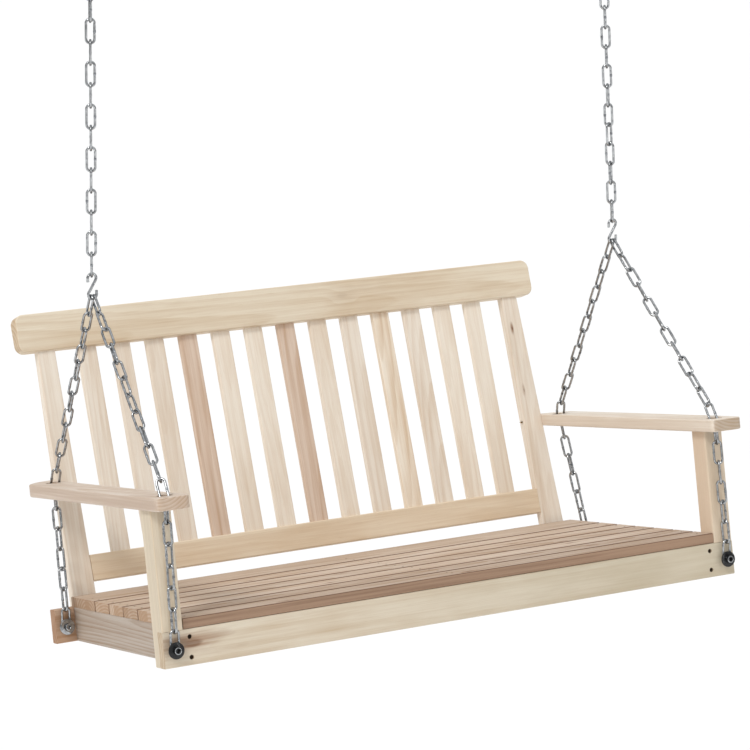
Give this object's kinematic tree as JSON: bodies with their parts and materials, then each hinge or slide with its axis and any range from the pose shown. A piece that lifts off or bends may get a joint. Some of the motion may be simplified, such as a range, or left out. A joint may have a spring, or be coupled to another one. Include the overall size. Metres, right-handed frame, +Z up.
{
  "type": "porch swing seat",
  "caption": "Slatted wooden two-seat porch swing bench with armrests and a leaning back, hung by chain legs and S-hooks from two ceiling hooks.",
  "frame": {"origin": "midway between the shanks of the two ceiling hooks, at the ceiling plane", "axes": "+Z up, +Y from the front of the seat towards its back, +X towards the right armrest as seen from the front"},
  "size_m": [1.2, 0.7735, 1.4059],
  "materials": {
    "pine_cream": "bare planed softwood",
    "pine_pinkish": "bare planed softwood",
    "pine_pale": "bare planed softwood",
    "dowel_beech": "bare fluted dowel",
    "zinc_chain": "bright zinc plated",
    "zinc_hooks": "bright zinc plated",
    "black_washers": "gloss black plated",
    "dark_screws": "dark phosphated"
  },
  "bodies": {
    "ceiling": {"ceiling_hook_left": "zinc_hooks", "ceiling_hook_right": "zinc_hooks"},
    "swing_links": {"top_link_left": "zinc_chain", "top_link_right": "zinc_chain"},
    "hanger_left": {"upper_chain_left": "zinc_chain"},
    "hanger_right": {"upper_chain_right": "zinc_chain"},
    "s_hook_left": {"s_hook_left": "zinc_chain"},
    "s_hook_right": {"s_hook_right": "zinc_chain"},
    "seat": {"front_apron": "pine_cream", "rear_rail": "pine_cream", "side_rail_left": "pine_pinkish", "seat_middle_rail": "pine_pinkish", "side_rail_right": "pine_pinkish", "arm_post_left": "pine_pale", "arm_post_right": "pine_pale", "seat_slat_1": "pine_pinkish", "seat_slat_2": "pine_pinkish", "seat_slat_3": "pine_pinkish", "seat_slat_4": "pine_pinkish", "seat_slat_5": "pine_pinkish", "seat_slat_6": "pine_pinkish", "seat_slat_7": "pine_pinkish", "armrest_left": "pine_pinkish", "armrest_right": "pine_pinkish", "back_stile_left": "pine_pale", "back_stile_right": "pine_pale", "back_top_rail": "pine_cream", "back_bottom_rail": "pine_cream", "back_slat_01": "pine_pale", "back_slat_02": "pine_pale", "back_slat_03": "pine_pale", "back_slat_04": "pine_pale", "back_slat_05": "pine_pale", "back_slat_06": "pine_pale", "back_slat_07": "pine_pale", "back_slat_08": "pine_pale", "back_slat_09": "pine_pale", "back_slat_10": "pine_pale", "back_slat_11": "pine_pale", "back_slat_12": "pine_pale", "back_slat_13": "pine_pale", "front_chain_bolts": "zinc_chain", "front_chain_washers": "black_washers", "rear_chain_bolts": "zinc_chain", "rear_chain_washers": "zinc_chain", "chain_bolt_nuts": "zinc_chain", "nut_washers": "zinc_chain", "apron_screws": "dark_screws", "rear_rail_screws": "pine_cream", "stile_foot_screws": "dark_screws", "seat_slat_nails": "dark_screws", "armrest_dowels": "pine_pinkish", "back_rail_dowels": "dowel_beech", "middle_rail_dowels": "dowel_beech", "armrest_screws": "dark_screws", "front_leg_left": "zinc_chain", "rear_leg_left": "zinc_chain", "front_leg_right": "zinc_chain", "rear_leg_right": "zinc_chain"}
  },
  "joints": [
    {"name": "swing", "type": "hinge", "parent": "ceiling", "child": "swing_links", "pos_m": [0, 0, -0.05], "axis": [1, 0, 0], "range_deg": [-30, 30]},
    {"name": "sway_left", "type": "hinge", "parent": "swing_links", "child": "hanger_left", "pos_m": [-0.53032, 0, -0.08653], "axis": [0, 1, 0], "range_deg": [-6, 6]},
    {"name": "sway_right", "type": "hinge", "parent": "swing_links", "child": "hanger_right", "pos_m": [0.53032, 0, -0.08653], "axis": [0, 1, 0], "range_deg": [-6, 6]},
    {"name": "level_left", "type": "hinge", "parent": "hanger_left", "child": "s_hook_left", "pos_m": [-0.54958, 0, -0.61818], "axis": [0, 1, 0], "range_deg": [-6, 6]},
    {"name": "level_right", "type": "hinge", "parent": "hanger_right", "child": "s_hook_right", "pos_m": [0.54958, 0, -0.61818], "axis": [0, 1, 0], "range_deg": [-6, 6]},
    {"name": "pitch", "type": "hinge", "parent": "s_hook_left", "child": "seat", "pos_m": [0, 0, -0.65913], "axis": [1, 0, 0], "range_deg": [-15, 15]}
  ],
  "couplings": [
    {"joint": "sway_right", "follows": "sway_left", "ratio": 1},
    {"joint": "level_left", "follows": "sway_left", "ratio": -0.96496},
    {"joint": "level_right", "follows": "sway_left", "ratio": -0.96496}
  ]
}
